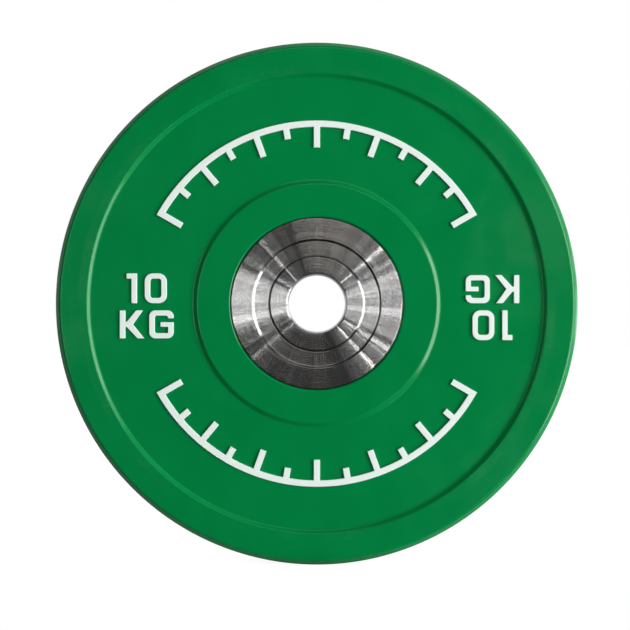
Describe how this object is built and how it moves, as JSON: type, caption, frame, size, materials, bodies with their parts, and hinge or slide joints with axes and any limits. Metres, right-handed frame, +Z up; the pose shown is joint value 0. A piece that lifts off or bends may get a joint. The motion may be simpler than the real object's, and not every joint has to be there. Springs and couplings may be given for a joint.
{
  "type": "olympic weight plate",
  "caption": "Round green rubber weight plate with a raised rim, a recessed web with white raised markings, and a turned steel hub with a centre bore.",
  "frame": {"origin": "centre of the bore at mid thickness, where the bar's sleeve holds the plate up", "axes": "the bore runs along Y, the front face looks towards -Y, and +Z is up, with the left marking block upright"},
  "size_m": [0.45, 0.035, 0.45],
  "materials": {
    "green_rubber": "moulded, smooth, with a soft sheen",
    "white_rubber": "moulded, matte",
    "turned_steel": "turned on a lathe, with fine rings round the bore",
    "core_steel": "rough, bonded to the rubber",
    "calibration_steel": "plain",
    "bolt_steel": "black oxide"
  },
  "bodies": {
    "root": {"rubber_body": "green_rubber", "core_disc": "core_steel", "hub_disc_front": "turned_steel", "hub_disc_rear": "turned_steel", "bore_bush": "turned_steel", "lock_ring": "turned_steel", "calibration_ring": "calibration_steel", "hub_bolt_1": "bolt_steel", "hub_bolt_2": "bolt_steel", "hub_bolt_3": "bolt_steel", "hub_bolt_4": "bolt_steel", "hub_bolt_5": "bolt_steel", "hub_bolt_6": "bolt_steel", "marking_front_left_1": "white_rubber", "marking_front_left_0": "white_rubber", "marking_front_left_k": "white_rubber", "marking_front_left_g": "white_rubber", "marking_front_right_1": "white_rubber", "marking_front_right_0": "white_rubber", "marking_front_right_k": "white_rubber", "marking_front_right_g": "white_rubber", "marking_rear_left_1": "white_rubber", "marking_rear_left_0": "white_rubber", "marking_rear_left_k": "white_rubber", "marking_rear_left_g": "white_rubber", "marking_rear_right_1": "white_rubber", "marking_rear_right_0": "white_rubber", "marking_rear_right_k": "white_rubber", "marking_rear_right_g": "white_rubber", "scale_front_top": "white_rubber", "scale_front_bottom": "white_rubber", "scale_rear_top": "white_rubber", "scale_rear_bottom": "white_rubber"}
  },
  "joints": []
}
